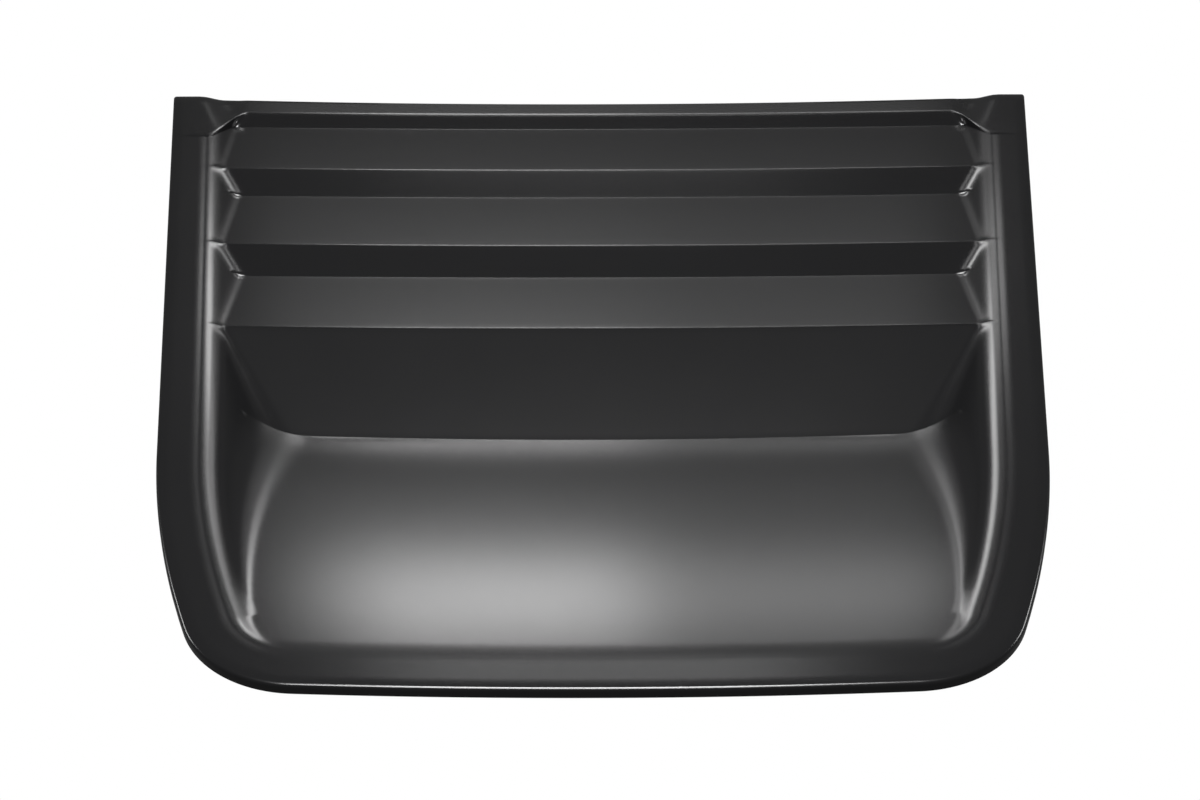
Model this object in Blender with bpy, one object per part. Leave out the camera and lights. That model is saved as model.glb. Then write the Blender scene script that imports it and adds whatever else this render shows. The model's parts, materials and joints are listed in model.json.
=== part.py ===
"""Louvred bonnet scoop panel with its hidden fixings.

Frame: +X to the right, +Y to the rear, +Z up. The flat top of the flange is the plane z = 0, and the
origin is on that plane, midway between the front edge and the rear edge. All lengths are metres.
"""

import math

import bmesh
import bpy

# ---------------------------------------------------------------- driving dimensions
# plan outline: front arc, corner arc, side arc, then a straight tapering side
FRONT_Y = -0.3475
FRONT_R = 3.700
FRONT_RUN = 0.181
CORNER_R = 0.077
CORNER_TURN = math.radians(67.4)
SIDE_R = 0.7255
TAPER = math.radians(6.2)
PAD_REAR_Y = 0.3375

# section of the rim
SKIN = 0.003
SKIRT_DROP = 0.007
EDGE_R = 0.0015
FLAT_INSET = 0.0260      # where the flat flange ends and the shoulder begins
SHOULDER_R = 0.024
LOUVRE_WALL_SLOPE = math.radians(33.0)
POCKET_WALL_SLOPE = math.radians(45.0)
WALL_TURN_Y = (0.045, -0.010)     # the side wall steepens between these, going forwards

# lengthwise section on the centre line: name, y, z, forward bow (y added per x squared)
PROFILE = {
    "rear_edge": (0.3312, -0.0050, 0.098),
    "recess_edge": (0.3126, -0.0043, 0.058),
    "root_1": (0.2985, -0.0095, 0.058),
    "lip_1": (0.2266, -0.0029, 0.058),
    "root_2": (0.1990, -0.0105, 0.058),
    "lip_2": (0.1219, -0.0030, 0.058),
    "root_3": (0.0932, -0.0120, 0.058),
    "lip_3": (0.0184, -0.0037, 0.058),
    "root_4": (-0.0646, -0.0375, 0.140),
    "ridge": (-0.3170, 0.0000, 0.135),
}

# rear corner: the pads stay level while the rear flange between them drops
PAD_BLEND = (0.299, 0.318)
FOLD_AT_RECESS = 0.2865
FOLD_AT_REAR = 0.3085
FOLD_HALF = 0.0095
CORNER_CUT = (0.278, 0.304, 0.045)   # starts at x, ends at x, how far forward the edge moves

# grid of the skin
SKIRT_RINGS = ((0.0, -SKIRT_DROP), (0.0, -EDGE_R))
WALL_SHARES = (0.0, 0.15, 0.3, 0.6, 1.0)
WALL_REACH = (0.028, 0.120)       # insets between which a side wall always meets the floor
FOOT_MARGIN = 0.006
RAMP_FRONT_SLOPE = 0.70    # slope of the pocket's floor at the ridge, as a share of its mean slope
POCKET_BLEND = 0.2        # height of the blend into the side wall, as a share of the depth
LEAST_BLEND = 0.001
STEP_BLEND = 0.004        # the same where the louvre steps meet the side wall
LAST_ROW_Y = -0.268
INNER_SHARES = (0.965, 0.92, 0.70, 0.35, 0.0)
RAMP_SHARES = (0.25, 0.5, 0.75, 1.0)

# fixings
GAP = 0.0003
TAPE_INSETS = (0.0040, 0.0105)
TAPE_T = 0.0038
STUD_INSET = 0.0180
STUD_Y = (0.235, 0.060, -0.115)
STUD_X_FRONT = 0.110
STUD_PLATE_R = 0.0070
STUD_PLATE_T = 0.0015
STUD_R = 0.0025
STUD_LENGTH = 0.018
WASHER_R = 0.0070
WASHER_T = 0.0012
WASHER_DROP = 0.0084      # top of the washer below the flange plane, under a 1 mm sheet
NUT_FLAT = 0.0040
NUT_T = 0.0040
THREAD_CLEARANCE = 0.0003
ROUND_STEPS = 12
BRACE_HALF = 0.200
BRACE_W = 0.016
BRACE_H = 0.007
BRACE_STEPS = 8
BRACE_DROP = 0.0037
RAIL_X = 0.120
RAIL_W = 0.018
RAIL_H = 0.008
RAIL_Y = (-0.095, -0.140, -0.185, -0.230, -0.275)
TAPE_SIDE_Y = (0.325, -0.125)
TAPE_FRONT_HALF = 0.170
REAR_SEAL_HALF = 0.270
REAR_SEAL_W = 0.010
REAR_SEAL_H = 0.004
REAR_SEAL_BACK = 0.010

COLOURS = {
    "satin_abs": ((0.012, 0.012, 0.013), 0.38, 0.0),
    "foam_tape": ((0.030, 0.030, 0.032), 0.90, 0.0),
    "epdm": ((0.020, 0.020, 0.021), 0.75, 0.0),
    "zinc_steel": ((0.620, 0.630, 0.650), 0.35, 1.0),
    "glass_nylon": ((0.060, 0.060, 0.065), 0.55, 0.0),
}


# ---------------------------------------------------------------- small helpers
def smooth(t):
    t = min(1.0, max(0.0, t))
    return t * t * (3.0 - 2.0 * t)


def mix(a, b, t):
    return a + (b - a) * t


def soft_max(a, b, width):
    over = max(0.0, width - abs(a - b))
    return max(a, b) + over * over / (4.0 * width)


def material(name):
    found = bpy.data.materials.get(name)
    if found:
        return found
    colour, roughness, metallic = COLOURS[name]
    made = bpy.data.materials.new(name)
    made.use_nodes = True
    made.diffuse_color = (*colour, 1.0)
    shader = made.node_tree.nodes["Principled BSDF"]
    shader.inputs["Base Color"].default_value = (*colour, 1.0)
    shader.inputs["Roughness"].default_value = roughness
    shader.inputs["Metallic"].default_value = metallic
    return made


def add_object(name, verts, faces, material_name, location=(0.0, 0.0, 0.0), keep_normals=False):
    mesh = bpy.data.meshes.new(name)
    bm = bmesh.new()
    made = [bm.verts.new(v) for v in verts]
    for face in faces:
        bm.faces.new([made[i] for i in face])
    if not keep_normals:
        bmesh.ops.recalc_face_normals(bm, faces=bm.faces)
    bm.to_mesh(mesh)
    bm.free()
    mesh.materials.append(material(material_name))
    made_object = bpy.data.objects.new(name, mesh)
    made_object.location = location
    made_object.parent = ASSEMBLY
    bpy.context.scene.collection.objects.link(made_object)
    return made_object


# ---------------------------------------------------------------- plan outline
FRONT_TURN = FRONT_RUN / FRONT_R
SIDE_HEADING = math.pi / 2 - TAPER
CORNER_MIDDLE = FRONT_TURN + CORNER_TURN / 2.0
ARCS = (
    (FRONT_R, FRONT_TURN),
    (CORNER_R, CORNER_TURN),
    (SIDE_R, SIDE_HEADING - FRONT_TURN - CORNER_TURN),
)


def outline_point(heading, inset):
    """Point of the right half outline where it runs at this heading, moved inwards by inset."""
    x, y, at = 0.0, FRONT_Y, 0.0
    for radius, turn in ARCS:
        step = min(turn, heading - at)
        if step <= 0.0:
            break
        chord = 2.0 * radius * math.sin(step / 2.0)
        x += chord * math.cos(at + step / 2.0)
        y += chord * math.sin(at + step / 2.0)
        at += step
    return (x - inset * math.sin(at), y + inset * math.cos(at))


def heading_where(axis, value, inset):
    """Heading at which an inset outline reaches this x (axis 0) or y (axis 1), by halving."""
    low, high = 0.0, SIDE_HEADING
    for _ in range(40):
        middle = (low + high) / 2.0
        if outline_point(middle, inset)[axis] < value:
            low = middle
        else:
            high = middle
    return high


def side_x(y, inset):
    """Half width of an inset outline at this y."""
    end_x, end_y = outline_point(SIDE_HEADING, inset)
    if y >= end_y:
        return end_x + (y - end_y) * math.tan(TAPER)
    return outline_point(heading_where(1, y, inset), inset)[0]


# ---------------------------------------------------------------- heights
def wall_height(inset, y):
    """Shoulder of radius SHOULDER_R from the flat flange into the side wall, steeper at the pocket."""
    run = inset - FLAT_INSET
    if run <= 0.0:
        return 0.0
    turned = smooth((WALL_TURN_Y[0] - y) / (WALL_TURN_Y[0] - WALL_TURN_Y[1]))
    slope = mix(LOUVRE_WALL_SLOPE, POCKET_WALL_SLOPE, turned)
    arc_run = SHOULDER_R * math.sin(slope)
    if run < arc_run:
        return math.sqrt(SHOULDER_R ** 2 - run ** 2) - SHOULDER_R
    return SHOULDER_R * (math.cos(slope) - 1.0) - (run - arc_run) * math.tan(slope)


def ramp_height(x, y):
    """The pocket's floor, rising forwards to the ridge at the front flange."""
    root_y, root_z, _ = PROFILE["root_4"]
    ridge_y, _, bow = PROFILE["ridge"]
    length = root_y - ridge_y
    run = y - ridge_y - bow * x * x
    share = RAMP_FRONT_SLOPE + (1.0 - RAMP_FRONT_SLOPE) * run / length
    return min(0.0, root_z * run / length * share)


def rear_height(x, across):
    """Rear flange between the pads; across is 0 at the recess edge and 1 at the rear edge."""
    low = mix(PROFILE["recess_edge"][1], PROFILE["rear_edge"][1], across)
    middle = mix(FOLD_AT_RECESS, FOLD_AT_REAR, across)
    rise = smooth((abs(x) - middle + FOLD_HALF) / (2.0 * FOLD_HALF))
    return low * (1.0 - rise)


def line_y(name, x):
    """The y of a named line of the section at this x."""
    y, _, bow = PROFILE[name]
    y += bow * x * x
    if name == "rear_edge":
        low, high = PAD_BLEND
        return mix(y, PAD_REAR_Y, smooth((abs(x) - low) / (high - low)))
    if name == "recess_edge":
        start, end, forward = CORNER_CUT
        return y - forward * smooth((abs(x) - start) / (end - start))
    if name == "root_1":
        return min(y, line_y("recess_edge", x) - 0.001)
    return y


def skin_height(row, x, y, inset):
    """Top surface of the skin on a row of the section."""
    if row["kind"] == "rear":
        return rear_height(x, row["across"])
    if row["kind"] == "floor":
        floor = row["z"]
        blend = STEP_BLEND
    else:
        floor = ramp_height(x, y)
        blend = max(LEAST_BLEND, POCKET_BLEND * abs(floor))
    return min(0.0, soft_max(floor, wall_height(inset, y), blend))


# ---------------------------------------------------------------- skin
def between(first, second, share):
    """A row between two named lines, in the floor of the louvres and the pocket."""
    def y_at(x):
        return mix(line_y(first, x), line_y(second, x), share)
    return {"kind": "floor", "y_at": y_at, "z": mix(PROFILE[first][1], PROFILE[second][1], share)}


def section_rows():
    """The rows of the grid, from the rear edge to the last straight row of the pocket's floor."""
    rows = []
    for across in (1.0, 0.5, 0.0):
        def rear_y(x, share=across):
            return mix(line_y("recess_edge", x), line_y("rear_edge", x), share)
        rows.append({"kind": "rear", "y_at": rear_y, "across": across})
    for number in (1, 2, 3):
        root, lip, below = f"root_{number}", f"lip_{number}", f"root_{number + 1}"
        rows += [between(root, lip, share) for share in (0.0, 0.5, 1.0)]
        if number == 3:
            rows.append(between(lip, below, 0.5))
    rows.append(between("root_4", "ridge", 0.0))
    for share in RAMP_SHARES:
        def ramp_y(x, at=share):
            return mix(line_y("root_4", x), LAST_ROW_Y, at)
        rows.append({"kind": "ramp", "y_at": ramp_y})
    return rows


def side_place(row, inset):
    """The x and y where a row crosses an inset outline."""
    x = side_x(row["y_at"](0.0), inset)
    for _ in range(8):
        x = side_x(row["y_at"](x), inset)
    return x, row["y_at"](x)


def wall_span(row):
    """Insets at which the flat flange of a row ends and at which its wall meets the floor."""
    if row["kind"] == "rear":
        middle = mix(FOLD_AT_RECESS, FOLD_AT_REAR, row["across"])
        width = side_place(row, 0.0)[0]
        return width - middle - FOLD_HALF, width - middle + FOLD_HALF
    low, high = WALL_REACH
    for _ in range(30):
        inset = (low + high) / 2.0
        x, y = side_place(row, inset)
        floor = row["z"] if row["kind"] == "floor" else ramp_height(x, y)
        if wall_height(inset, y) > floor:
            low = inset
        else:
            high = inset
    return FLAT_INSET, high


def row_insets(row):
    start, foot = wall_span(row)
    insets = [mix(start, foot, share) for share in WALL_SHARES]
    return [EDGE_R] + insets + [foot + FOOT_MARGIN]


def straight_row(row):
    """Right half of a row, from the outer edge to the centre line."""
    points = [(*side_place(row, inset), level) for inset, level in SKIRT_RINGS]
    insets = row_insets(row)
    for inset in insets:
        x, y = side_place(row, inset)
        points.append((x, y, skin_height(row, x, y, inset)))
    last_x = points[-1][0]
    for share in INNER_SHARES:
        x = last_x * share
        y = row["y_at"](x)
        inset = insets[-1] + (last_x - x) * math.cos(TAPER)
        points.append((x, y, skin_height(row, x, y, inset)))
    return points


def front_row(ring, rings):
    """Right half of a row that follows one ring across the front, from the outer edge inwards."""
    ramp = {"kind": "ramp"}
    count = len(rings)

    def on_ring(which, start, share):
        inset, level = rings[which]
        x, y = outline_point(mix(start, CORNER_MIDDLE, share), inset)
        return (x, y, skin_height(ramp, x, y, inset) if level is None else level)

    points = []
    for outer in range(ring):
        start = heading_where(1, LAST_ROW_Y, rings[outer][0])
        points.append(on_ring(outer, start, (count - ring) / (count - outer)))
    for inner in range(ring, count):
        points.append(on_ring(ring, FRONT_TURN, (count - inner) / (count - ring)))
    inset, level = rings[ring]
    first_x = outline_point(FRONT_TURN, inset)[0]
    for share in INNER_SHARES:
        x = first_x * share / INNER_SHARES[0]
        y = outline_point(heading_where(0, x, inset), inset)[1]
        points.append((x, y, skin_height(ramp, x, y, inset) if level is None else level))
    return points


def make_skin():
    """One sheet of quads, mirrored about the centre line and thickened downwards."""
    rows = section_rows()
    rings = list(SKIRT_RINGS) + [(inset, None) for inset in row_insets(rows[-1])]
    half_rows = [straight_row(row) for row in rows]
    half_rows += [front_row(ring, rings) for ring in reversed(range(len(rings)))]
    verts, faces, index = [], [], []
    for half in half_rows:
        row = [(-x, y, z) for x, y, z in half] + half[-2::-1]
        index.append(range(len(verts), len(verts) + len(row)))
        verts += row
    for upper, lower in zip(index, index[1:]):
        for k in range(len(upper) - 1):
            faces.append((upper[k], lower[k], lower[k + 1], upper[k + 1]))
    skin = add_object("scoop_skin", verts, faces, "satin_abs", keep_normals=True)
    thicken = skin.modifiers.new("wall_thickness", "SOLIDIFY")
    thicken.thickness = SKIN
    thicken.offset = -1.0
    thicken.use_even_offset = True


# ---------------------------------------------------------------- strips and turned pieces
def section_strip(name, centre_line, across, top, bottom, material_name):
    """A bar of rectangular section along a list of (x, y) points, between two offsets across it."""
    verts, faces = [], []
    for place, (x, y) in enumerate(centre_line):
        ahead = centre_line[min(place + 1, len(centre_line) - 1)]
        behind = centre_line[max(place - 1, 0)]
        dx, dy = ahead[0] - behind[0], ahead[1] - behind[1]
        length = math.hypot(dx, dy)
        side_a, side_b = [(x - off * dy / length, y + off * dx / length) for off in across]
        upper = top(x, y)
        lower = bottom(x, y)
        verts += [(*side_a, upper), (*side_b, upper), (*side_b, lower), (*side_a, lower)]
    for place in range(len(centre_line) - 1):
        base = 4 * place
        for k in range(4):
            n = (k + 1) % 4
            faces.append((base + k, base + n, base + 4 + n, base + 4 + k))
    faces.append((0, 1, 2, 3))
    last = 4 * (len(centre_line) - 1)
    faces.append((last + 3, last + 2, last + 1, last))
    add_object(name, verts, faces, material_name)


def turned(name, profile, material_name, location, steps=ROUND_STEPS, closed=False, shape=None):
    """A solid of revolution about Z from (radius, z) points; shape may square off the outer points."""
    verts, faces, rings = [], [], []
    for radius, z in profile:
        if radius == 0.0:
            rings.append([len(verts)])
            verts.append((0.0, 0.0, z))
            continue
        ring = []
        for k in range(steps):
            angle = 2.0 * math.pi * k / steps
            reach = radius if shape is None else shape(radius, angle)
            ring.append(len(verts))
            verts.append((reach * math.cos(angle), reach * math.sin(angle), z))
        rings.append(ring)
    pairs = list(zip(rings, rings[1:]))
    if closed:
        pairs.append((rings[-1], rings[0]))
    for first, second in pairs:
        for k in range(steps):
            n = (k + 1) % steps
            if len(first) == 1:
                faces.append((first[0], second[k], second[n]))
            elif len(second) == 1:
                faces.append((first[k], second[0], first[n]))
            else:
                faces.append((first[k], second[k], second[n], first[n]))
    made = add_object(name, verts, faces, material_name, location)
    made.data.shade_smooth()
    made.data.set_sharp_from_angle(angle=math.radians(30.0))


def level(height):
    return lambda x, y: height


def make_tapes():
    """Foam tape under the flat flange, in three runs that stop short of the corners."""
    inner = (TAPE_INSETS[1] - TAPE_INSETS[0]) / 2.0
    inset = sum(TAPE_INSETS) / 2.0
    top = -SKIN - GAP
    for name, sign in (("foam_tape_left", -1.0), ("foam_tape_right", 1.0)):
        ends = (TAPE_SIDE_Y[0], TAPE_SIDE_Y[1])
        line = [(sign * side_x(y, inset), y) for y in ends]
        section_strip(name, line, (-inner, inner), level(top), level(top - TAPE_T), "foam_tape")
    line = []
    for k in range(BRACE_STEPS + 1):
        x = mix(-TAPE_FRONT_HALF, TAPE_FRONT_HALF, k / BRACE_STEPS)
        line.append((x, outline_point(heading_where(0, abs(x), inset), inset)[1]))
    section_strip("foam_tape_front", line, (-inner, inner), level(top), level(top - TAPE_T), "foam_tape")


def bowed_line(name, half, steps):
    """Points along a named line of the section, from one side to the other."""
    points = []
    for k in range(steps + 1):
        x = mix(-half, half, k / steps)
        points.append((x, line_y(name, x)))
    return points


def make_rear_seal():
    """Rubber strip under the low rear flange."""
    line = []
    for k in range(BRACE_STEPS + 1):
        x = mix(-REAR_SEAL_HALF, REAR_SEAL_HALF, k / BRACE_STEPS)
        line.append((x, line_y("rear_edge", x) - REAR_SEAL_BACK))
    top = PROFILE["rear_edge"][1] - SKIN - GAP
    half = REAR_SEAL_W / 2.0
    section_strip("rear_seal", line, (-half, half), level(top), level(top - REAR_SEAL_H), "epdm")


def make_step_braces():
    """A stiffening bar under the root of each louvre step."""
    half = BRACE_W / 2.0
    for number in (1, 2, 3):
        root = f"root_{number}"
        top = PROFILE[root][1] - BRACE_DROP
        line = bowed_line(root, BRACE_HALF, BRACE_STEPS)
        name = f"step_brace_{number}"
        section_strip(name, line, (-half, half), level(top), level(top - BRACE_H), "glass_nylon")


def make_floor_rails():
    """Two lengthwise bars that follow the slope of the pocket's floor from below."""
    drop = SKIN + 3.0 * GAP
    half = RAIL_W / 2.0
    for name, x in (("floor_rail_left", -RAIL_X), ("floor_rail_right", RAIL_X)):
        outer = abs(x) - half

        def top(_, y, at=outer):
            return ramp_height(at, y) - drop

        def bottom(_, y, at=outer):
            return ramp_height(at, y) - drop - RAIL_H

        line = [(x, y) for y in RAIL_Y]
        section_strip(name, line, (-half, half), top, bottom, "glass_nylon")


def hexagon(radius, angle):
    """Outer points of a hexagon nut whose flats are radius from the middle."""
    if radius < NUT_FLAT:
        return radius
    turn = (angle + math.pi / 6.0) % (math.pi / 3.0) - math.pi / 6.0
    return radius / math.cos(turn)


def fixing_places():
    places = []
    for y in STUD_Y:
        for sign in (-1.0, 1.0):
            places.append((sign * side_x(y, STUD_INSET), y))
    for sign in (-1.0, 1.0):
        x = sign * STUD_X_FRONT
        places.append((x, outline_point(heading_where(0, abs(x), STUD_INSET), STUD_INSET)[1]))
    return places


def make_fixings():
    """Bonded plate studs under the flange, each with a washer and a nut below the bonnet sheet."""
    hole = STUD_R + THREAD_CLEARANCE
    stud = (
        (0.0, 0.0),
        (STUD_PLATE_R, 0.0),
        (STUD_PLATE_R, -STUD_PLATE_T),
        (STUD_R, -STUD_PLATE_T),
        (STUD_R, -STUD_LENGTH),
        (0.0, -STUD_LENGTH),
    )
    washer = ((hole, 0.0), (WASHER_R, 0.0), (WASHER_R, -WASHER_T), (hole, -WASHER_T))
    nut = ((hole, 0.0), (NUT_FLAT, 0.0), (NUT_FLAT, -NUT_T), (hole, -NUT_T))
    washer_z = -WASHER_DROP
    nut_z = washer_z - WASHER_T - GAP
    for number, (x, y) in enumerate(fixing_places(), start=1):
        turned(f"stud_{number}", stud, "zinc_steel", (x, y, -SKIN - GAP))
        turned(f"washer_{number}", washer, "zinc_steel", (x, y, washer_z), closed=True)
        turned(f"nut_{number}", nut, "zinc_steel", (x, y, nut_z), closed=True, shape=hexagon)


def main():
    make_skin()
    make_tapes()
    make_rear_seal()
    make_step_braces()
    make_floor_rails()
    make_fixings()


for old in list(bpy.data.objects):
    bpy.data.objects.remove(old, do_unlink=True)
ASSEMBLY = bpy.data.objects.new("panel", None)
bpy.context.scene.collection.objects.link(ASSEMBLY)
main()
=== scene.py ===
"""Looks of the louvred bonnet scoop panel: a fine moulded skin, materials, studio and camera.

Frame: +X to the right, +Y to the rear, +Z up, metres. The flat top of the flange is z = 0.
"""

import json
import math

import bpy
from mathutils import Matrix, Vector


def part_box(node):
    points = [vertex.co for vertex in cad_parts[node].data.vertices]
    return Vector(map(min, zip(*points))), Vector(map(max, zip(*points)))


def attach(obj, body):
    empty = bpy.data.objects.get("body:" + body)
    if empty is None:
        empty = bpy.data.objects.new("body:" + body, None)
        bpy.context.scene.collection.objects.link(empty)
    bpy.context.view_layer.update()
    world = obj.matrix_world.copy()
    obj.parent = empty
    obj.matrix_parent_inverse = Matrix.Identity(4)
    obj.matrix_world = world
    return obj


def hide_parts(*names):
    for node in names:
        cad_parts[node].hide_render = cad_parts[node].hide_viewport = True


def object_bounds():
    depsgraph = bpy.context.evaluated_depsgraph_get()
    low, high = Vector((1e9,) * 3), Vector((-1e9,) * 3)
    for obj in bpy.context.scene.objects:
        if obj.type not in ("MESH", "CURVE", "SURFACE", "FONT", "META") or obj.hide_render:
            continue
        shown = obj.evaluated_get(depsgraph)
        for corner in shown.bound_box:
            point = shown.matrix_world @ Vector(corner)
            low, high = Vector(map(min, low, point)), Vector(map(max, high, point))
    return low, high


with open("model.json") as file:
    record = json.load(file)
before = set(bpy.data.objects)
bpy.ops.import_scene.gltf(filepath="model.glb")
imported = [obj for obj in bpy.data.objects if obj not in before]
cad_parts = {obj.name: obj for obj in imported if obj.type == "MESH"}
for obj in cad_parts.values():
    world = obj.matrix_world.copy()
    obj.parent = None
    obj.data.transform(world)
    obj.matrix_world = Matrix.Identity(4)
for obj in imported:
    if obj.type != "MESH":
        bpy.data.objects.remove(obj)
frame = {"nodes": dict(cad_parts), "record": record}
CAD_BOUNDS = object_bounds()
SKIN_LOW, SKIN_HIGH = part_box("scoop_skin")

# ---------------------------------------------------------------- plan outline, as in the CAD model
FRONT_Y = SKIN_LOW[1]
FRONT_R = 3.700
FRONT_RUN = 0.181
CORNER_R = 0.077
CORNER_TURN = math.radians(67.4)
SIDE_R = 0.7255
TAPER = math.radians(6.2)
PAD_REAR_Y = 0.3375

# ---------------------------------------------------------------- section of the rim
SKIN = 0.003
SKIRT_DROP = 0.007
EDGE_R = 0.0024
INNER_EDGE_R = 0.0008
FLAT_INSET = 0.0260
SHOULDER_R = 0.024
LOUVRE_WALL_SLOPE = math.radians(33.0)
POCKET_WALL_SLOPE = math.radians(45.0)
WALL_TURN_Y = (0.045, -0.010)      # the side wall steepens between these, going forwards

# ---------------------------------------------------------------- lengthwise section: y, z, bow
PROFILE = {
    "rear_edge": (0.3312, -0.0050, 0.098),
    "recess_edge": (0.3126, -0.0043, 0.058),
    "root_1": (0.2985, -0.0095, 0.058),
    "lip_1": (0.2266, -0.0029, 0.058),
    "root_2": (0.1990, -0.0105, 0.058),
    "lip_2": (0.1219, -0.0030, 0.058),
    "root_3": (0.0932, -0.0120, 0.058),
    "lip_3": (0.0184, -0.0037, 0.058),
    "root_4": (-0.0646, -0.0375, 0.140),
    "ridge": (-0.3170, 0.0000, 0.135),
}
NAMES = list(PROFILE)
# how far each rounding reaches along the two straights that meet at a line
ROUNDING = {
    "recess_edge": 0.0024,
    "root_1": 0.0003,
    "lip_1": 0.0011,
    "root_2": 0.0003,
    "lip_2": 0.0011,
    "root_3": 0.0003,
    "lip_3": 0.0011,
    "root_4": 0.0003,
}
# straight stretches between the lines: steps, and height of the blend into the side wall at each end
STRETCHES = (
    (6, 0.0020, 0.0020),
    (4, 0.0020, 0.0022),
    (14, 0.0022, 0.0022),
    (8, 0.0045, 0.0045),
    (14, 0.0022, 0.0022),
    (8, 0.0045, 0.0045),
    (14, 0.0022, 0.0022),
    (20, 0.0045, 0.0150),
)
ROUND_STEPS = 6
RAMP_STEPS = 26
RAMP_BLEND = 0.60         # blend of the pocket's floor into its side walls, as a share of the depth
RAMP_FRONT_SLOPE = 0.70   # slope of the floor at the ridge, as a share of its mean slope
RIDGE_BLEND = 0.0010
LEAST_BLEND = 0.0006
REAR_EDGE_R = 0.0012      # rounding of the edge at the very rear
REAR_EDGE_STEPS = 4

# ---------------------------------------------------------------- rear corners
PAD_BLEND = (0.299, 0.318)
FOLD_AT_RECESS = 0.2865
FOLD_AT_REAR = 0.3085
FOLD_HALF = 0.0095
CORNER_CUT = (0.278, 0.304, 0.045)   # starts at x, ends at x, how far forward the edge moves
ROOT_CLEARANCE = 0.0012              # the first root stays this far in front of the recess edge

# ---------------------------------------------------------------- grid across the section
EDGE_STEPS = 5
FLANGE_START = 0.004      # inset from which the rings on the flat flange are spread
FLANGE_SHARES = (0.25, 0.5, 0.75, 0.93)
RING_STEP = 0.0015
RING_END = 0.0700
LAST_ROW_Y = FRONT_Y + 0.0795
INNER_COLUMNS = 26
INNER_CROWDING = 1.5      # above 1 the columns crowd towards the side wall
SHARP_ANGLE = math.radians(42.0)


# ---------------------------------------------------------------- helpers
def smooth(t):
    t = min(1.0, max(0.0, t))
    return t * t * (3.0 - 2.0 * t)


def mix(a, b, t):
    return a + (b - a) * t


def soft_max(a, b, width):
    over = max(0.0, width - abs(a - b))
    return max(a, b) + over * over / (4.0 * width)


def soft_min(a, b, width):
    return -soft_max(-a, -b, width)


# ---------------------------------------------------------------- outline
FRONT_TURN = FRONT_RUN / FRONT_R
SIDE_HEADING = math.pi / 2 - TAPER
CORNER_MIDDLE = FRONT_TURN + CORNER_TURN / 2.0
ARCS = (
    (FRONT_R, FRONT_TURN),
    (CORNER_R, CORNER_TURN),
    (SIDE_R, SIDE_HEADING - FRONT_TURN - CORNER_TURN),
)


def outline_point(heading, inset):
    """Point of the right half outline where it runs at this heading, moved inwards by inset."""
    x, y, at = 0.0, FRONT_Y, 0.0
    for radius, turn in ARCS:
        step = min(turn, heading - at)
        if step <= 0.0:
            break
        chord = 2.0 * radius * math.sin(step / 2.0)
        x += chord * math.cos(at + step / 2.0)
        y += chord * math.sin(at + step / 2.0)
        at += step
    return (x - inset * math.sin(at), y + inset * math.cos(at))


def heading_where(axis, value, inset):
    """Heading at which an inset outline reaches this x (axis 0) or y (axis 1), by halving."""
    low, high = 0.0, SIDE_HEADING
    for _ in range(30):
        middle = (low + high) / 2.0
        if outline_point(middle, inset)[axis] < value:
            low = middle
        else:
            high = middle
    return high


def side_x(y, inset):
    """Half width of an inset outline at this y."""
    end_x, end_y = outline_point(SIDE_HEADING, inset)
    if y >= end_y:
        return end_x + (y - end_y) * math.tan(TAPER)
    return outline_point(heading_where(1, y, inset), inset)[0]


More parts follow.
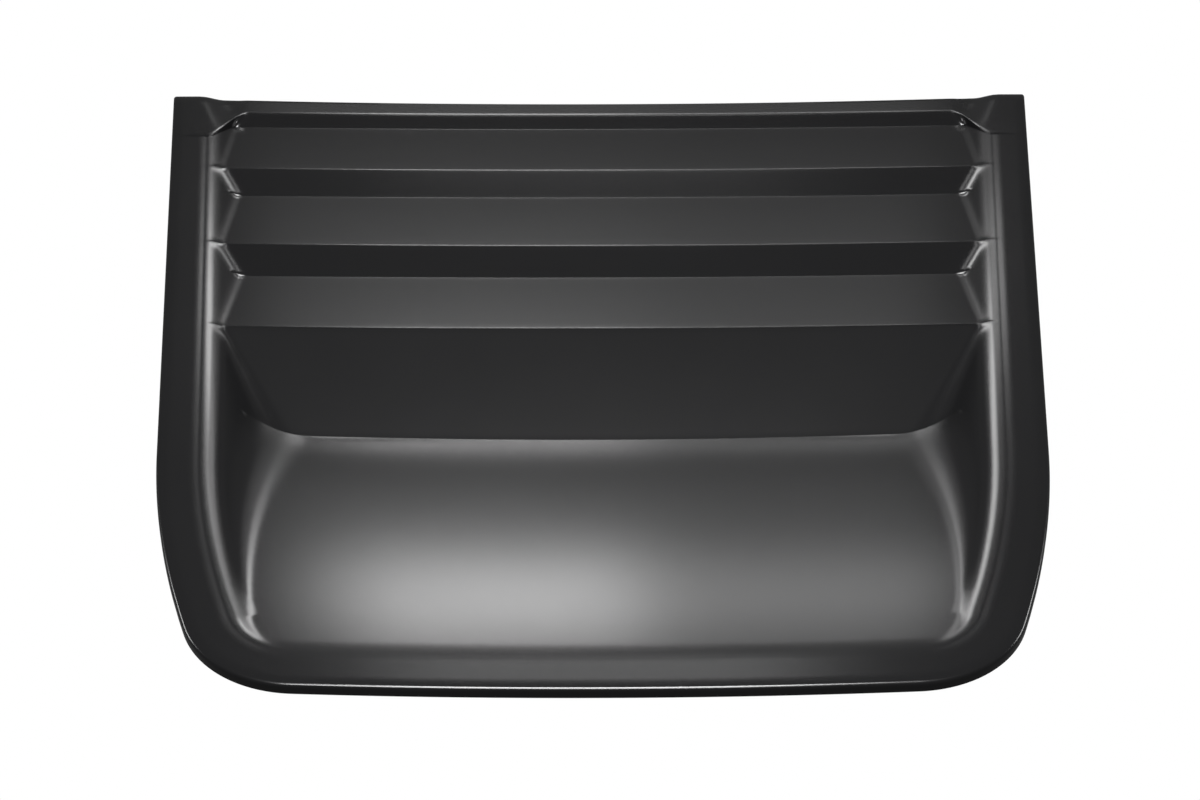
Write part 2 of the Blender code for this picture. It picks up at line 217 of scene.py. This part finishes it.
# ---------------------------------------------------------------- one face of the skin
class Face:
    """Top face (depth 0) or under face (depth SKIN) of the moulded skin, as heights over the plan."""

    def __init__(self, depth):
        self.depth = depth
        self.lines = {}
        for place, name in enumerate(NAMES):
            y, z, bow = PROFILE[name]
            before = PROFILE[NAMES[max(place - 1, 0)]]
            after = PROFILE[NAMES[min(place + 1, len(NAMES) - 1)]]
            turns = []
            for (y_a, z_a, _), (y_b, z_b, _) in ((before, PROFILE[name]), (PROFILE[name], after)):
                if y_a != y_b:
                    turns.append(math.atan2(z_b - z_a, y_a - y_b))
            tilt = sum(turns) / len(turns)
            reach = depth / math.cos((turns[0] - turns[-1]) / 2.0)
            self.lines[name] = (y - reach * math.sin(tilt), z - reach * math.cos(tilt), bow)
        ridge_y = self.lines["ridge"][0]
        root_y, root_z, _ = self.lines["root_4"]
        self.ridge_y = ridge_y
        self.slope = (root_z - self.lines["ridge"][1]) / (root_y - ridge_y)

    def wall(self, inset, y):
        """Shoulder from the flat flange into the side wall, which is steeper beside the pocket."""
        run = inset - FLAT_INSET
        radius = SHOULDER_R - self.depth
        if run <= 0.0:
            return -self.depth
        turned = smooth((WALL_TURN_Y[0] - y) / (WALL_TURN_Y[0] - WALL_TURN_Y[1]))
        slope = mix(LOUVRE_WALL_SLOPE, POCKET_WALL_SLOPE, turned)
        arc_run = radius * math.sin(slope)
        if run < arc_run:
            return math.sqrt(radius ** 2 - run ** 2) - SHOULDER_R
        return radius * math.cos(slope) - SHOULDER_R - (run - arc_run) * math.tan(slope)

    def ramp(self, x, y):
        """The pocket's floor, rising forwards to the ridge."""
        run = y - self.ridge_y - PROFILE["ridge"][2] * x * x
        length = self.lines["root_4"][0] - self.ridge_y
        share = RAMP_FRONT_SLOPE + (1.0 - RAMP_FRONT_SLOPE) * run / length
        return self.lines["ridge"][1] + self.slope * run * share

    def rear(self, x, across):
        """Rear flange between the level pads; across is 0 at the recess edge, 1 at the rear edge."""
        low = mix(PROFILE["recess_edge"][1], PROFILE["rear_edge"][1], across)
        middle = mix(FOLD_AT_RECESS, FOLD_AT_REAR, across)
        rise = smooth((abs(x) - middle + FOLD_HALF) / (2.0 * FOLD_HALF))
        return low * (1.0 - rise) - self.depth

    def line_y(self, name, x):
        """The y of a named line at this x."""
        y, _, bow = self.lines[name]
        y += bow * x * x
        if name == "rear_edge":
            low, high = PAD_BLEND
            return mix(y, PAD_REAR_Y, smooth((abs(x) - low) / (high - low)))
        if name == "recess_edge":
            start, end, forward = CORNER_CUT
            return y - forward * smooth((abs(x) - start) / (end - start))
        if name == "root_1":
            return min(y, self.line_y("recess_edge", x) - ROOT_CLEARANCE)
        return y

    def row_place(self, row, x):
        """The y and the floor height of a section row at this x."""
        weights = row["weights"]
        y = sum(share * self.line_y(name, x) for name, share in weights.items())
        rear = weights.get("rear_edge", 0.0) + weights.get("recess_edge", 0.0)
        z = sum(s * self.lines[n][1] for n, s in weights.items() if n not in ("rear_edge", "recess_edge"))
        if rear > 0.0:
            z += rear * self.rear(x, weights.get("rear_edge", 0.0) / rear)
        return y, z - row["drop"]

    def height(self, row, x, y, floor, inset):
        """Height of the face: the floor and the side wall with a rounded blend, never over the flange."""
        if row["ramp"]:
            floor = self.ramp(x, y)
        blend = row["blend"]
        if blend is None:
            blend = max(LEAST_BLEND, RAMP_BLEND * abs(floor + self.depth))
        if row["rear"]:
            return floor
        top = -self.depth
        if inset < FLAT_INSET:
            return top
        return soft_min(soft_max(floor, self.wall(inset, y), blend), top, RIDGE_BLEND)


# ---------------------------------------------------------------- grid of the skin
def section_rows():
    """Rows from the rear edge to the last straight row of the pocket's floor.

    Each row is a weighted mean of the named lines, so that a rounding is a short quadratic curve.
    """
    rows = []

    def add(weights, blend, ramp=False, drop=0.0):
        rear = weights.get("rear_edge", 0.0) > 0.0
        rows.append({"weights": weights, "blend": blend, "ramp": ramp, "drop": drop, "rear": rear})

    def length(place):
        y_a, z_a, _ = PROFILE[NAMES[place]]
        y_b, z_b, _ = PROFILE[NAMES[place + 1]]
        return math.hypot(y_a - y_b, z_a - z_b)

    for place, (steps, blend_a, blend_b) in enumerate(STRETCHES):
        first, second = NAMES[place], NAMES[place + 1]
        start = ROUNDING.get(first, 0.0) / length(place)
        end = 1.0 - ROUNDING[second] / length(place)
        if place == 0:
            start = REAR_EDGE_R / length(place)
            for k in range(REAR_EDGE_STEPS):
                drop = REAR_EDGE_R * (1.0 - math.sin(math.pi / 2.0 * k / REAR_EDGE_STEPS))
                share = drop / length(place)
                add({first: 1.0 - start + share, second: start - share}, blend_a, drop=drop)
        for k in range(steps + 1):
            share = mix(start, end, k / steps)
            add({first: 1.0 - share, second: share}, mix(blend_a, blend_b, k / steps))
        after = NAMES[place + 2]
        near = ROUNDING[second] / length(place)
        far = ROUNDING[second] / length(place + 1)
        next_blend = STRETCHES[place + 1][1] if place + 1 < len(STRETCHES) else blend_b
        for k in range(1, ROUND_STEPS):
            t = k / ROUND_STEPS
            low = (1.0 - t) ** 2 * near
            high = t ** 2 * far
            add({first: low, second: 1.0 - low - high, after: high}, mix(blend_b, next_blend, t))
    span = PROFILE["root_4"][0] - PROFILE["ridge"][0]
    first_share = ROUNDING["root_4"] / length(len(NAMES) - 2)
    last_share = (PROFILE["root_4"][0] - LAST_ROW_Y) / span
    for k in range(RAMP_STEPS + 1):
        share = mix(first_share, last_share, k / RAMP_STEPS)
        add({"root_4": 1.0 - share, "ridge": share}, None, ramp=True)
    return rows


def ring_list(depth):
    """(inset, level) of the outer rings; a level of None is worked out from the surface."""
    if depth == 0.0:
        edge, inset, top = EDGE_R, 0.0, 0.0
    else:
        edge, inset, top = INNER_EDGE_R, SKIN, -SKIN
    rings = [(inset, -SKIRT_DROP), (inset, mix(-SKIRT_DROP, top - edge, 0.5))]
    for k in range(EDGE_STEPS + 1):
        turn = math.pi / 2.0 * k / EDGE_STEPS
        rings.append((inset + edge * (1.0 - math.cos(turn)), top - edge * (1.0 - math.sin(turn))))
    for share in FLANGE_SHARES:
        rings.append((mix(FLANGE_START, FLAT_INSET, share), None))
    count = round((RING_END - FLAT_INSET) / RING_STEP)
    for k in range(count + 1):
        rings.append((mix(FLAT_INSET, RING_END, k / count), None))
    return rings


def inner_shares():
    """Shares of the last ring's half width, close together near the wall."""
    return [1.0 - (k / INNER_COLUMNS) ** INNER_CROWDING for k in range(1, INNER_COLUMNS + 1)]


def straight_row(face, row, rings):
    """Right half of a section row, from the outer edge to the centre line."""
    points = []
    x = 0.0
    for inset, level in rings:
        for _ in range(4):
            y, floor = face.row_place(row, x)
            x = side_x(y, inset)
        y, floor = face.row_place(row, x)
        if level is None:
            level = face.height(row, x, y, floor, inset)
        else:
            level = max(level - row["drop"], -SKIRT_DROP)
        points.append((x, y, level))
    last_x = x
    for share in inner_shares():
        x = last_x * share
        y, floor = face.row_place(row, x)
        inset = rings[-1][0] + (last_x - x) * math.cos(TAPER)
        points.append((x, y, face.height(row, x, y, floor, inset)))
    return points


def front_row(face, ring, rings, starts):
    """A row that comes down the sides and follows one ring across the front."""
    row = {"blend": None, "ramp": True, "drop": 0.0, "rear": False}
    count = len(rings)

    def place(which, heading):
        inset, level = rings[which]
        x, y = outline_point(heading, inset)
        return (x, y, face.height(row, x, y, 0.0, inset) if level is None else level)

    points = []
    for outer in range(ring):
        share = (count - ring) / (count - outer)
        points.append(place(outer, mix(starts[outer], CORNER_MIDDLE, share)))
    for inner in range(ring, count):
        share = (count - inner) / (count - ring)
        points.append(place(ring, mix(FRONT_TURN, CORNER_MIDDLE, share)))
    inset = rings[ring][0]
    first_x = outline_point(FRONT_TURN, inset)[0]
    for share in inner_shares():
        points.append(place(ring, heading_where(0, first_x * share, inset)))
    return points


def face_rows(depth):
    """All rows of one face, each mirrored about the centre line."""
    face = Face(depth)
    rings = ring_list(depth)
    starts = [heading_where(1, LAST_ROW_Y, inset) for inset, _ in rings]
    rows = [straight_row(face, row, rings) for row in section_rows()]
    rows += [front_row(face, ring, rings, starts) for ring in reversed(range(len(rings)))]
    return [[(-x, y, z) for x, y, z in half] + half[-2::-1] for half in rows]


def grid_edge(grid):
    """The indices round the edge of a grid, in order."""
    edge = list(grid[0]) + [row[-1] for row in grid[1:]] + list(grid[-1])[-2::-1]
    return edge + [row[0] for row in grid[-2:0:-1]]


def make_skin():
    """Top face and under face on the same grid, joined round their edges."""
    verts, faces, grids = [], [], []
    for depth in (0.0, SKIN):
        grid = []
        for row in face_rows(depth):
            grid.append(range(len(verts), len(verts) + len(row)))
            verts += row
        grids.append(grid)
    top, under = grids
    for upper, lower in zip(top, top[1:]):
        for k in range(len(upper) - 1):
            faces.append((upper[k], lower[k], lower[k + 1], upper[k + 1]))
    for upper, lower in zip(under, under[1:]):
        for k in range(len(upper) - 1):
            faces.append((upper[k + 1], lower[k + 1], lower[k], upper[k]))
    edge_top = grid_edge(top)
    edge_under = grid_edge(under)
    for k in range(len(edge_top)):
        n = (k + 1) % len(edge_top)
        faces.append((edge_top[k], edge_top[n], edge_under[n], edge_under[k]))
    mesh = bpy.data.meshes.new("moulded_skin")
    mesh.from_pydata(verts, [], faces)
    mesh.validate()
    mesh.shade_smooth()
    mesh.set_sharp_from_angle(angle=SHARP_ANGLE)
    skin = bpy.data.objects.new("moulded_skin", mesh)
    bpy.context.scene.collection.objects.link(skin)
    return skin


# ---------------------------------------------------------------- materials
def new_material(name, colour, roughness, metallic=0.0):
    """A Principled material and its node tree, ready for procedural detail."""
    made = bpy.data.materials.new(name)
    made.use_nodes = True
    made.diffuse_color = (*colour, 1.0)
    tree = made.node_tree
    shader = tree.nodes["Principled BSDF"]
    shader.inputs["Base Color"].default_value = (*colour, 1.0)
    shader.inputs["Roughness"].default_value = roughness
    shader.inputs["Metallic"].default_value = metallic
    return made, tree, shader


def noise(tree, scale, detail, kind="ShaderNodeTexNoise"):
    """Noise in object coordinates; scale is in cells per metre."""
    where = tree.nodes.new("ShaderNodeTexCoord")
    texture = tree.nodes.new(kind)
    texture.inputs["Scale"].default_value = scale
    if "Detail" in texture.inputs:
        texture.inputs["Detail"].default_value = detail
    tree.links.new(where.outputs["Object"], texture.inputs["Vector"])
    return texture


def ranged(tree, source, low, high):
    """Maps a 0..1 output to low..high."""
    node = tree.nodes.new("ShaderNodeMapRange")
    node.inputs["To Min"].default_value = low
    node.inputs["To Max"].default_value = high
    tree.links.new(source, node.inputs["Value"])
    return node.outputs["Result"]


def add_bump(tree, shader, source, strength, distance):
    """Fine relief from a 0..1 output; distance is in metres."""
    node = tree.nodes.new("ShaderNodeBump")
    node.inputs["Strength"].default_value = strength
    node.inputs["Distance"].default_value = distance
    tree.links.new(source, node.inputs["Height"])
    tree.links.new(node.outputs["Normal"], shader.inputs["Normal"])


def tinted(tree, shader, source, dark, light):
    """Base colour that drifts between two close tones."""
    node = tree.nodes.new("ShaderNodeMix")
    node.data_type = "RGBA"
    node.inputs["A"].default_value = (*dark, 1.0)
    node.inputs["B"].default_value = (*light, 1.0)
    tree.links.new(source, node.inputs["Factor"])
    tree.links.new(node.outputs["Result"], shader.inputs["Base Color"])


def satin_abs():
    """Black moulded ABS with a fine grain and a slow drift in gloss."""
    made, tree, shader = new_material("satin_abs", (0.0045, 0.0045, 0.0048), 0.20)
    grain = noise(tree, 2600.0, 2.0)
    cloud = noise(tree, 9.0, 3.0)
    tree.links.new(ranged(tree, cloud.outputs["Fac"], 0.19, 0.21), shader.inputs["Roughness"])
    tinted(tree, shader, cloud.outputs["Fac"], (0.0042, 0.0042, 0.0045), (0.0050, 0.0050, 0.0053))
    add_bump(tree, shader, grain.outputs["Fac"], 0.05, 0.0002)
    return made


def closed_cell_foam():
    """Foam tape, with its cells."""
    made, tree, shader = new_material("closed_cell_foam", (0.020, 0.020, 0.022), 0.92)
    cells = noise(tree, 1400.0, 2.0, "ShaderNodeTexVoronoi")
    tinted(tree, shader, cells.outputs["Distance"], (0.012, 0.012, 0.013), (0.034, 0.034, 0.036))
    add_bump(tree, shader, cells.outputs["Distance"], 0.6, 0.0004)
    return made


def seal_rubber():
    """Rubber strip with a dull grain."""
    made, tree, shader = new_material("seal_rubber", (0.012, 0.012, 0.013), 0.62)
    grain = noise(tree, 900.0, 3.0)
    tree.links.new(ranged(tree, grain.outputs["Fac"], 0.52, 0.72), shader.inputs["Roughness"])
    add_bump(tree, shader, grain.outputs["Fac"], 0.25, 0.0002)
    return made


def zinc_plate():
    """Zinc-plated steel of the studs, washers and nuts."""
    made, tree, shader = new_material("zinc_plate", (0.62, 0.63, 0.65), 0.30, 1.0)
    brushed = noise(tree, 700.0, 4.0)
    tinted(tree, shader, brushed.outputs["Fac"], (0.50, 0.51, 0.54), (0.72, 0.73, 0.75))
    tree.links.new(ranged(tree, brushed.outputs["Fac"], 0.24, 0.42), shader.inputs["Roughness"])
    add_bump(tree, shader, brushed.outputs["Fac"], 0.15, 0.0001)
    return made


def glass_nylon():
    """Glass-filled nylon of the stiffeners."""
    made, tree, shader = new_material("glass_nylon", (0.030, 0.030, 0.033), 0.5)
    fibres = noise(tree, 450.0, 6.0)
    tinted(tree, shader, fibres.outputs["Fac"], (0.022, 0.022, 0.024), (0.042, 0.042, 0.045))
    tree.links.new(ranged(tree, fibres.outputs["Fac"], 0.42, 0.62), shader.inputs["Roughness"])
    add_bump(tree, shader, fibres.outputs["Fac"], 0.3, 0.0002)
    return made


MATERIALS = {
    "satin_abs": satin_abs(),
    "foam_tape": closed_cell_foam(),
    "epdm": seal_rubber(),
    "zinc_steel": zinc_plate(),
    "glass_nylon": glass_nylon(),
}


def material_of_node(name):
    """The material of a CAD node, by the slot that its record names."""
    for part in frame["record"]["subparts"]:
        if part["node"] == name:
            return MATERIALS[part["material_slot"]]
    return MATERIALS["satin_abs"]


# ---------------------------------------------------------------- pieces
for name, node in frame["nodes"].items():
    node.data.materials.clear()
    node.data.materials.append(material_of_node(name))

skin = make_skin()
skin.data.materials.append(MATERIALS["satin_abs"])
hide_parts("scoop_skin")
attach(skin, "root")


# ---------------------------------------------------------------- studio
FLOOR_Z = CAD_BOUNDS[0][2] - 0.0005
FLOOR_HALF = 30.0
FILL_GREY = 0.12
PANEL = Vector((0.0, -0.03, -0.02))
# name, place, width, height, power in watts
SOFTBOXES = (
    ("rear_strip", (-0.12, 1.2, 0.76), 0.34, 0.2, 1.35),
    ("rear_wide", (0.03, 1.2, 0.75), 0.8, 0.16, 1.6),
    ("rear_low", (0.0, 1.2, 0.5), 0.8, 0.2, 0.18),
    ("rear_high", (0.0, 1.2, 1.4), 0.6, 0.12, 1.1),
    ("top", (0.0, -0.4, 1.3), 0.6, 0.4, 26.0),
    ("front", (-0.15, -0.9, 1.3), 0.8, 0.4, 20.0),
    ("side_left", (-0.95, 0.1, 0.3), 0.35, 0.2, 2.0),
    ("side_right", (0.95, 0.1, 0.3), 0.35, 0.2, 2.0),
)


def add_floor():
    """A plain white floor that runs into the white background."""
    mesh = bpy.data.meshes.new("studio_floor")
    signs = ((-1, -1), (1, -1), (1, 1), (-1, 1))
    corners = [(across * FLOOR_HALF, along * FLOOR_HALF, FLOOR_Z) for across, along in signs]
    mesh.from_pydata(corners, [], [(0, 1, 2, 3)])
    floor = bpy.data.objects.new("studio_floor", mesh)
    bpy.context.scene.collection.objects.link(floor)
    made = bpy.data.materials.new("paper_white")
    made.use_nodes = True
    tree = made.node_tree
    tree.nodes.clear()
    glow = tree.nodes.new("ShaderNodeEmission")
    glow.inputs["Color"].default_value = (1.0, 1.0, 1.0, 1.0)
    glow.inputs["Strength"].default_value = 1.0
    output = tree.nodes.new("ShaderNodeOutputMaterial")
    tree.links.new(glow.outputs["Emission"], output.inputs["Surface"])
    mesh.materials.append(made)
    floor.visible_diffuse = False
    floor.visible_glossy = False
    floor.visible_shadow = False


def add_softbox(name, place, width, height, power):
    """A rectangular light at a place in the room, turned to the panel."""
    data = bpy.data.lights.new(name, "AREA")
    data.shape = "RECTANGLE"
    data.size = width
    data.size_y = height
    data.energy = power
    light = bpy.data.objects.new(name, data)
    light.location = place
    towards = Vector(place) - PANEL
    light.rotation_euler = towards.to_track_quat("Z", "Y").to_euler()
    bpy.context.scene.collection.objects.link(light)


def add_world():
    """White where the camera sees it, and a weak grey fill on the object."""
    world = bpy.data.worlds.new("studio")
    bpy.context.scene.world = world
    world.use_nodes = True
    tree = world.node_tree
    tree.nodes.clear()
    seen = tree.nodes.new("ShaderNodeBackground")
    seen.inputs["Color"].default_value = (1.0, 1.0, 1.0, 1.0)
    fill = tree.nodes.new("ShaderNodeBackground")
    fill.inputs["Color"].default_value = (FILL_GREY, FILL_GREY, FILL_GREY, 1.0)
    rays = tree.nodes.new("ShaderNodeLightPath")
    choose = tree.nodes.new("ShaderNodeMixShader")
    output = tree.nodes.new("ShaderNodeOutputWorld")
    tree.links.new(rays.outputs["Is Camera Ray"], choose.inputs[0])
    tree.links.new(fill.outputs[0], choose.inputs[1])
    tree.links.new(seen.outputs[0], choose.inputs[2])
    tree.links.new(choose.outputs[0], output.inputs["Surface"])


add_floor()
add_world()
for softbox in SOFTBOXES:
    add_softbox(*softbox)

# ---------------------------------------------------------------- camera
CAMERA_AT = Vector((-0.0089, -1.3843, 0.9790))
CAMERA_AIM = Vector((-0.0017, -0.0700, 0.0000))
lens = bpy.data.cameras.new("camera")
lens.sensor_width = 36.0
lens.lens = 74.12
lens.clip_start = 0.05
camera = bpy.data.objects.new("camera", lens)
camera.location = CAMERA_AT
camera.rotation_euler = (CAMERA_AIM - CAMERA_AT).to_track_quat("-Z", "Y").to_euler()
bpy.context.scene.collection.objects.link(camera)
bpy.context.scene.camera = camera
bpy.context.scene.view_settings.view_transform = "Standard"
bpy.context.scene.view_settings.look = "None"
